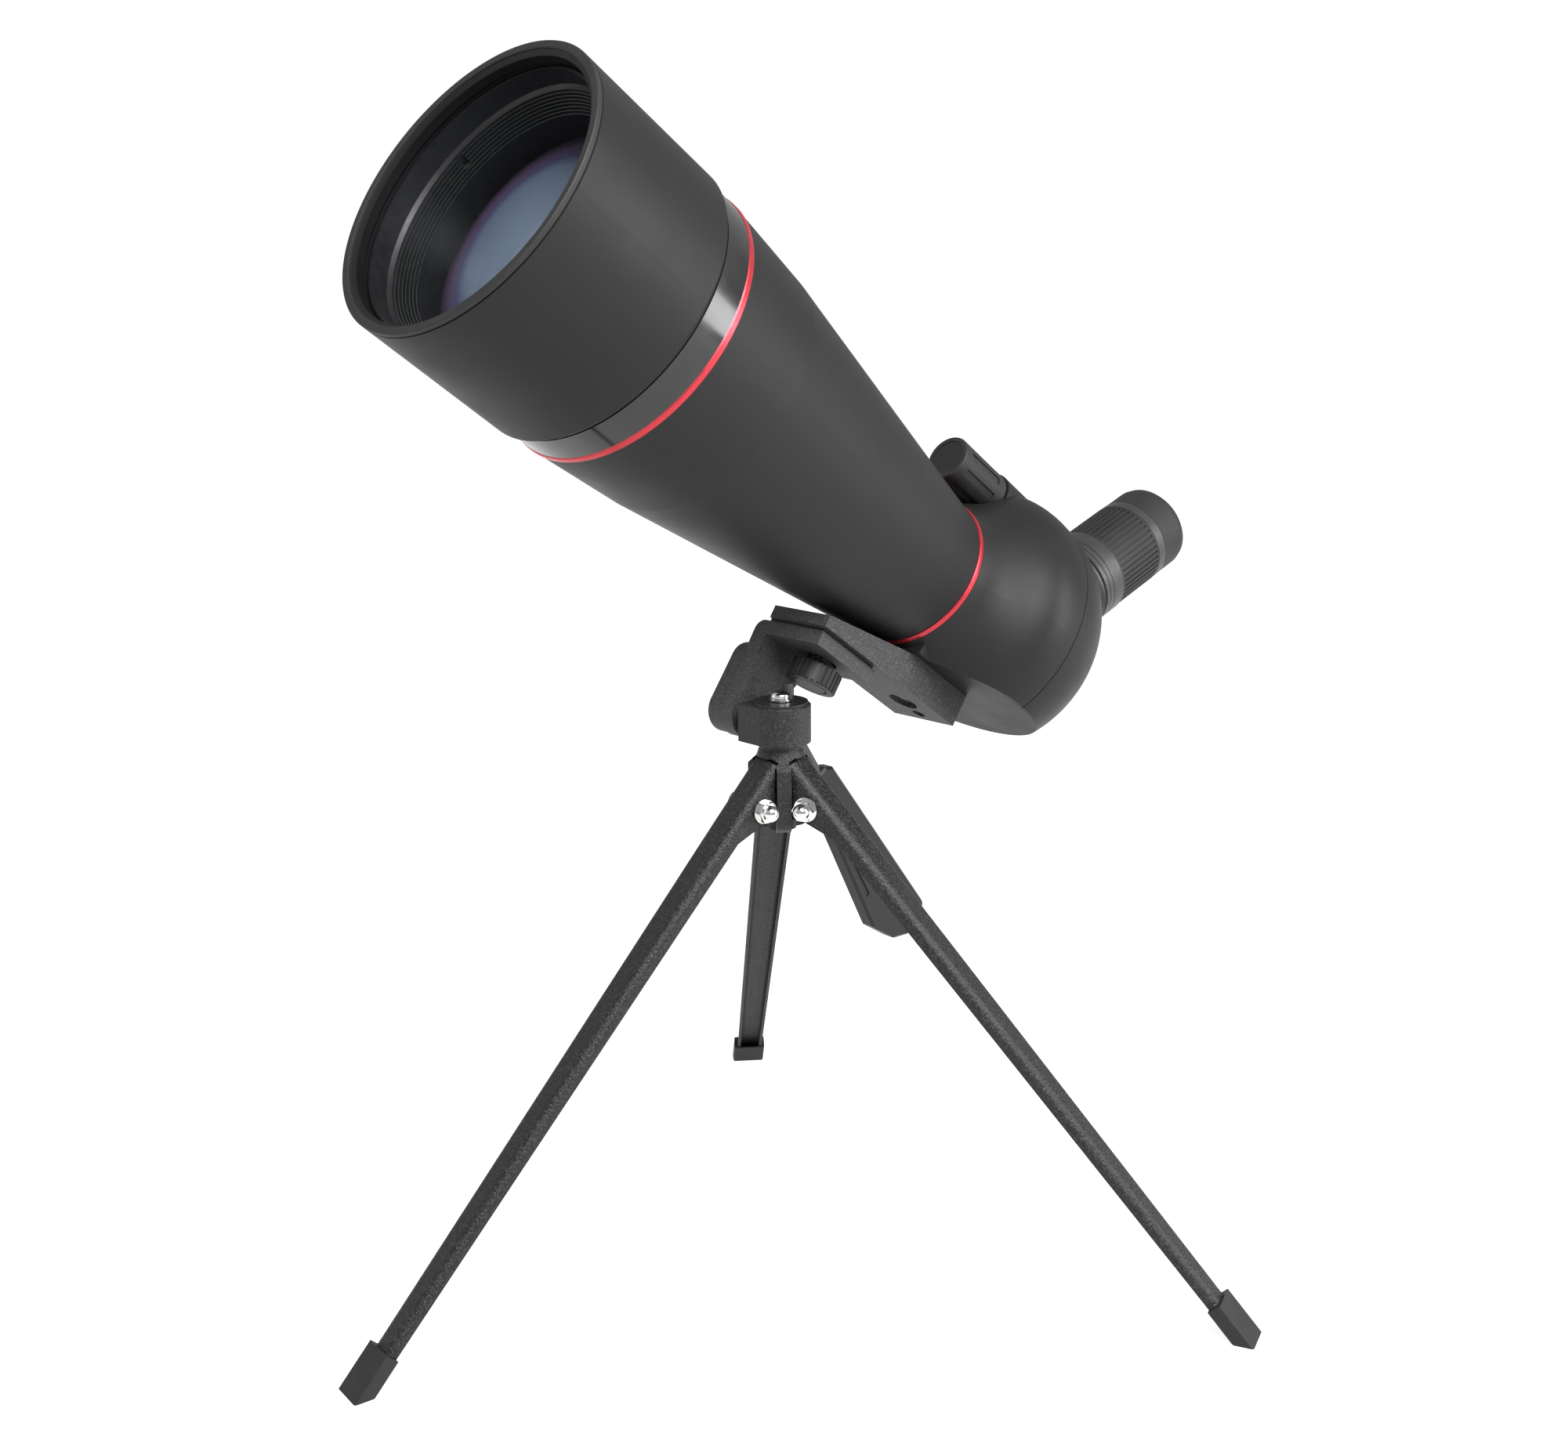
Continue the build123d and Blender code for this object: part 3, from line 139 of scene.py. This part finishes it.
class Surface:
    """A procedural material built up from a Principled shader."""

    def __init__(self, name, color, roughness, metallic=0.0):
        self.material = bpy.data.materials.new(name)
        self.material.use_nodes = True
        self.tree = self.material.node_tree
        self.shader = self.tree.nodes["Principled BSDF"]
        self.set("Base Color", (*color, 1))
        self.set("Roughness", roughness)
        self.set("Metallic", metallic)
        self.place = self.add("ShaderNodeTexCoord").outputs["Object"]
        self.normal = None

    def set(self, socket, value):
        self.shader.inputs[socket].default_value = value

    def add(self, kind, **settings):
        node = self.tree.nodes.new(kind)
        for key, value in settings.items():
            setattr(node, key, value)
        return node

    def link(self, source, target):
        self.tree.links.new(source, target)

    def noise(self, scale, detail=2.0, rough=0.5):
        node = self.add("ShaderNodeTexNoise")
        node.inputs["Scale"].default_value = scale
        node.inputs["Detail"].default_value = detail
        node.inputs["Roughness"].default_value = rough
        self.link(self.place, node.inputs["Vector"])
        return node.outputs["Fac"]

    def cells(self, scale):
        node = self.add("ShaderNodeTexVoronoi")
        node.inputs["Scale"].default_value = scale
        self.link(self.place, node.inputs["Vector"])
        return node.outputs["Distance"]

    def ramp(self, source, low, high, from_low=0.0, from_high=1.0):
        node = self.add("ShaderNodeMapRange")
        node.inputs["From Min"].default_value = from_low
        node.inputs["From Max"].default_value = from_high
        node.inputs["To Min"].default_value = low
        node.inputs["To Max"].default_value = high
        self.link(source, node.inputs["Value"])
        return node.outputs["Result"]

    def math(self, operation, first, second=None):
        node = self.add("ShaderNodeMath", operation=operation)
        for index, value in enumerate((first, second)):
            if value is None:
                continue
            if isinstance(value, (int, float)):
                node.inputs[index].default_value = value
            else:
                self.link(value, node.inputs[index])
        return node.outputs["Value"]

    def along(self, axis, origin):
        """Distance of the point along an axis, in metres."""
        shift = self.add("ShaderNodeVectorMath", operation="SUBTRACT")
        shift.inputs[1].default_value = origin
        self.link(self.place, shift.inputs[0])
        dot = self.add("ShaderNodeVectorMath", operation="DOT_PRODUCT")
        dot.inputs[1].default_value = axis
        self.link(shift.outputs["Vector"], dot.inputs[0])
        return dot.outputs["Value"]

    def from_axis(self, axis, origin):
        """Distance of the point from an axis, in metres."""
        shift = self.add("ShaderNodeVectorMath", operation="SUBTRACT")
        shift.inputs[1].default_value = origin
        self.link(self.place, shift.inputs[0])
        cross = self.add("ShaderNodeVectorMath", operation="CROSS_PRODUCT")
        cross.inputs[1].default_value = axis
        self.link(shift.outputs["Vector"], cross.inputs[0])
        length = self.add("ShaderNodeVectorMath", operation="LENGTH")
        self.link(cross.outputs["Vector"], length.inputs[0])
        return length.outputs["Value"]

    def bands(self, source, *stops):
        """Colour bands given as (position, colour) from 0 to 1."""
        node = self.add("ShaderNodeValToRGB")
        elements = node.color_ramp.elements
        while len(elements) < len(stops):
            elements.new(0.5)
        for element, (position, color) in zip(elements, stops):
            element.position = position
            element.color = (*color, 1)
        self.link(source, node.inputs["Fac"])
        self.link(node.outputs["Color"], self.shader.inputs["Base Color"])

    def turned_lines(self, axis, origin, scale):
        """Fine lathe lines round an axis: noise that changes along it only."""
        node = self.add("ShaderNodeTexNoise", noise_dimensions="1D")
        node.inputs["Scale"].default_value = scale
        node.inputs["Detail"].default_value = 3.0
        self.link(self.along(axis, origin), node.inputs["W"])
        return node.outputs["Fac"]

    def vary_color(self, source, low, high, from_low=0.0, from_high=1.0):
        mix = self.add("ShaderNodeMix", data_type="RGBA")
        mix.inputs["A"].default_value = (*low, 1)
        mix.inputs["B"].default_value = (*high, 1)
        self.link(self.ramp(source, 0, 1, from_low, from_high), mix.inputs["Factor"])
        self.link(mix.outputs["Result"], self.shader.inputs["Base Color"])

    def vary_roughness(self, source, low, high, from_low=0.0, from_high=1.0):
        self.link(self.ramp(source, low, high, from_low, from_high), self.shader.inputs["Roughness"])

    def bump(self, source, strength, distance):
        node = self.add("ShaderNodeBump")
        node.inputs["Strength"].default_value = strength
        node.inputs["Distance"].default_value = distance
        self.link(source, node.inputs["Height"])
        if self.normal:
            self.link(self.normal, node.inputs["Normal"])
        self.normal = node.outputs["Normal"]
        self.link(self.normal, self.shader.inputs["Normal"])


def soft_touch(name="soft_touch_paint", color=(0.0082, 0.0079, 0.0083), roughness=0.48):
    """Matt soft-touch paint with a fine dusty grain."""
    surface = Surface(name, color, roughness)
    surface.set("Specular IOR Level", 0.2)
    light = [min(1, c * 1.35) for c in color]
    grain = surface.noise(1400, 3, 0.6)
    patches = surface.noise(38, 3, 0.55)
    surface.vary_color(surface.math("ADD", surface.math("MULTIPLY", grain, 0.5),
                                    surface.math("MULTIPLY", patches, 0.5)), color, light, 0.35, 0.7)
    surface.vary_roughness(patches, roughness - 0.05, roughness + 0.06, 0.3, 0.7)
    surface.bump(surface.noise(2600, 2, 0.5), 0.16, 0.00006)
    return surface.material


def hood_paint():
    """Soft-touch paint outside the hood; painted shade darkens the bore inside it, and a lighter band on the
    lip face is a painted highlight.
    """
    surface = Surface("hood_paint", (0.019, 0.0185, 0.019), 0.5)
    surface.set("Specular IOR Level", 0.2)
    grain = surface.math("MULTIPLY", surface.noise(1400, 3, 0.6), 0.0004)
    radius = surface.math("ADD", surface.from_axis(SCOPE_BACK, FRONT), grain)
    bore_shade_and_lip_highlight = surface.ramp(radius, 0, 1, HOOD_BORE_R - 0.001, HOOD_BORE_R + 0.0045)
    # painted shade and highlight: darkest inside the bore, a lighter band on the lip face at 0.45, plain
    # paint colour outside
    surface.bands(bore_shade_and_lip_highlight, (0.0, (0.003, 0.003, 0.0035)), (0.2, (0.004, 0.004, 0.0045)),
                  (0.45, (0.012, 0.012, 0.0115)), (1.0, (0.0078, 0.0075, 0.0079)))
    surface.vary_roughness(surface.noise(38, 3, 0.55), 0.45, 0.56, 0.3, 0.7)
    surface.bump(surface.noise(2600, 2, 0.5), 0.16, 0.00006)
    return surface.material


def grooved_ring():
    """Anodised retainer with stepped grooves; the colour follows the groove wave as a painted highlight on
    the ridges and painted shade in the grooves.
    """
    surface = Surface("grooved_ring", (0.03, 0.032, 0.032), 0.36, 0.3)
    steps = surface.math("MULTIPLY", surface.from_axis(SCOPE_BACK, FRONT), 2 * math.pi / 0.0006)
    ridge_wave_and_painted_highlight = surface.math("SINE", steps)
    # painted highlight and shade: lighter on the ridges, darker in the grooves; the same wave also drives the
    # bump
    surface.vary_color(ridge_wave_and_painted_highlight, (0.006, 0.007, 0.007), (0.045, 0.048, 0.048), -0.6, 0.9)
    surface.vary_roughness(surface.noise(300, 3), 0.3, 0.44, 0.3, 0.7)
    surface.bump(ridge_wave_and_painted_highlight, 0.5, 0.0002)
    return surface.material


def front_glass():
    """Front lens: a slate blue middle painted lighter as a painted reflection, a purple coating round it, and
    painted shade making it dark at the edge.
    """
    surface = Surface("front_glass", (0.17, 0.21, 0.27), 0.08)
    surface.set("Specular IOR Level", 0.35)
    surface.set("Specular Tint", (0.6, 0.7, 1.0, 1))
    haze = surface.noise(70, 3)
    radius = surface.math("ADD", surface.from_axis(SCOPE_BACK, FRONT), surface.math("MULTIPLY", haze, 0.0006))
    # painted reflection and shade: lighter slate blue in the middle, a purple coating ring, darkening to the
    # rim as painted shade
    surface.bands(surface.math("DIVIDE", radius, LENS_R),
                  (0.0, (0.105, 0.135, 0.18)), (0.66, (0.08, 0.105, 0.15)), (0.76, (0.05, 0.05, 0.10)),
                  (0.84, (0.06, 0.042, 0.08)), (0.93, (0.028, 0.02, 0.036)), (0.98, (0.008, 0.008, 0.009)))
    surface.vary_roughness(haze, 0.06, 0.12, 0.3, 0.7)
    return surface.material


def powder_coat(name="powder_coat", color=(0.006, 0.006, 0.0063), roughness=0.42, grain=1100):
    """Textured black powder coat: small hard pimples whose lighter tops are a painted highlight."""
    surface = Surface(name, color, roughness)
    surface.set("Specular IOR Level", 0.32)
    pimples = surface.noise(grain, 2.5, 0.55)
    fine = surface.cells(grain * 1.6)
    height = surface.math("SUBTRACT", pimples, surface.math("MULTIPLY", fine, 0.22))
    # painted highlight: colour follows the pimple height, so the tops are painted lighter
    light = [min(1, c * 5.0) for c in color]
    surface.vary_color(height, color, light, 0.38, 0.66)
    surface.vary_roughness(pimples, roughness - 0.08, roughness + 0.16, 0.35, 0.65)
    surface.bump(height, 0.8, 0.0004)
    return surface.material


def moulded_rubber():
    """Matt black rubber with a faint bloom."""
    color = (0.010, 0.010, 0.0104)
    roughness = 0.6
    surface = Surface("moulded_rubber", color, roughness)
    surface.set("Specular IOR Level", 0.3)
    bloom = surface.noise(120, 4, 0.6)
    light = [c * 1.5 for c in color]
    surface.vary_color(bloom, color, light, 0.35, 0.75)
    surface.vary_roughness(surface.noise(60, 3), roughness - 0.07, roughness + 0.08, 0.3, 0.7)
    surface.bump(surface.noise(1900, 3, 0.6), 0.22, 0.00008)
    return surface.material


def turned_black(name, axis, origin, color=(0.02, 0.02, 0.021), roughness=0.32, lines=5200):
    """Black anodised aluminium with fine lathe lines."""
    surface = Surface(name, color, roughness, 0.35)
    marks = surface.turned_lines(axis, origin, lines)
    light = [c * 1.6 for c in color]
    surface.vary_color(marks, color, light, 0.3, 0.7)
    surface.vary_roughness(surface.noise(300, 3), roughness - 0.06, roughness + 0.08, 0.3, 0.7)
    surface.bump(marks, 0.18, 0.00005)
    return surface.material


def glossy_collar():
    """Smooth lacquered black with faint smears."""
    surface = Surface("glossy_collar", (0.008, 0.008, 0.0085), 0.14)
    surface.set("Specular IOR Level", 0.4)
    surface.set("Coat Weight", 0.15)
    surface.set("Coat Roughness", 0.06)
    smears = surface.noise(70, 4, 0.6)
    surface.vary_color(smears, (0.007, 0.007, 0.0075), (0.013, 0.013, 0.014), 0.3, 0.7)
    surface.vary_roughness(smears, 0.10, 0.2, 0.3, 0.7)
    surface.bump(surface.noise(900, 2), 0.03, 0.00003)
    return surface.material


def red_anodised():
    """Red anodised aluminium with fine lathe lines."""
    surface = Surface("red_anodised", (0.42, 0.03, 0.045), 0.3, 0.7)
    marks = surface.turned_lines(SCOPE_BACK, FRONT, 6500)
    surface.vary_color(marks, (0.34, 0.016, 0.024), (0.52, 0.045, 0.06), 0.3, 0.7)
    surface.vary_roughness(surface.noise(240, 3), 0.24, 0.38, 0.3, 0.7)
    surface.bump(marks, 0.12, 0.00004)
    return surface.material


def coated_glass():
    """Lens glass with a blue-violet anti-reflection coating that turns purple at a grazing look."""
    tint = (0.085, 0.12, 0.19)
    surface = Surface("coated_glass", tint, 0.03)
    surface.set("IOR", 1.6)
    surface.set("Transmission Weight", 0.45)
    surface.set("Specular IOR Level", 0.7)
    surface.set("Specular Tint", (0.55, 0.70, 1.0, 1))
    surface.set("Coat Weight", 0.6)
    surface.set("Coat Roughness", 0.02)
    surface.set("Coat Tint", (0.60, 0.62, 1.0, 1))
    facing = surface.add("ShaderNodeLayerWeight")
    facing.inputs["Blend"].default_value = 0.35
    haze = surface.noise(55, 3)
    depth = surface.math("ADD", facing.outputs["Facing"], surface.math("MULTIPLY", haze, 0.12))
    surface.vary_color(depth, tint, (0.13, 0.085, 0.19), 0.15, 0.9)
    surface.vary_roughness(haze, 0.02, 0.06, 0.3, 0.7)
    return surface.material


def bright_chrome():
    """Polished chrome with faint smears."""
    surface = Surface("bright_chrome", (0.82, 0.82, 0.83), 0.09, 1.0)
    smears = surface.noise(160, 3, 0.5)
    surface.vary_color(smears, (0.66, 0.65, 0.63), (0.78, 0.78, 0.78), 0.3, 0.7)
    surface.vary_roughness(smears, 0.08, 0.15, 0.35, 0.75)
    surface.bump(surface.noise(700, 2), 0.02, 0.00002)
    return surface.material


def plain_steel():
    """Bare steel with fine scratches."""
    surface = Surface("plain_steel", (0.42, 0.42, 0.43), 0.3, 1.0)
    scratches = surface.noise(900, 4, 0.7)
    surface.vary_color(scratches, (0.30, 0.30, 0.31), (0.55, 0.55, 0.56), 0.3, 0.7)
    surface.vary_roughness(scratches, 0.22, 0.42, 0.3, 0.7)
    surface.bump(scratches, 0.1, 0.00005)
    return surface.material


def make_materials():
    """One material for each slot of the record."""
    return {
        "body_shell": soft_touch(),
        "soft_grip": moulded_rubber(),
        "inner_black": turned_black("inner_black", SCOPE_BACK, FRONT, (0.008, 0.008, 0.009), 0.4, 2600),
        "dark_anodised": turned_black("dark_anodised", SCOPE_BACK, FRONT, (0.03, 0.03, 0.032), 0.34),
        "gloss_collar": glossy_collar(),
        "red_anodised": red_anodised(),
        "optical_glass": coated_glass(),
        "powder_coat": powder_coat(),
        "plate_coat": powder_coat("plate_coat", (0.020, 0.020, 0.021), 0.5, 2300),
        "chrome": bright_chrome(),
        "steel": plain_steel(),
        "handle_plastic": soft_touch("moulded_plastic", (0.010, 0.010, 0.0103), 0.4),
    }


EYE_METAL = (
    "eyepiece_barrel", "eyepiece_base", "zoom_ring",
    "eyecup_sleeve", "eye_lens_retainer", "zoom_carriage",
)
SHARP_ANGLE = math.radians(32)


def paint_nodes(materials):
    """Give each node the material of its slot, or its own look where it has one."""
    slots = {part["node"]: part["material_slot"] for part in frame["record"]["subparts"]}
    eye_metal = turned_black("eyepiece_black", EYE_OUT, EYE_START, (0.024, 0.024, 0.025), 0.4, 4200)
    own_look = {name: eye_metal for name in EYE_METAL}
    own_look.update(lens_hood=hood_paint(), retaining_ring=grooved_ring(), crown_lens=front_glass(),
                    handle_rod=materials["dark_anodised"])
    for name, node in nodes.items():
        node.data.materials.clear()
        node.data.materials.append(own_look.get(name) or materials[slots[name]])
        node.data.shade_smooth()
        node.data.set_sharp_from_angle(angle=SHARP_ANGLE)


make_camera()
make_studio()
paint_nodes(make_materials())
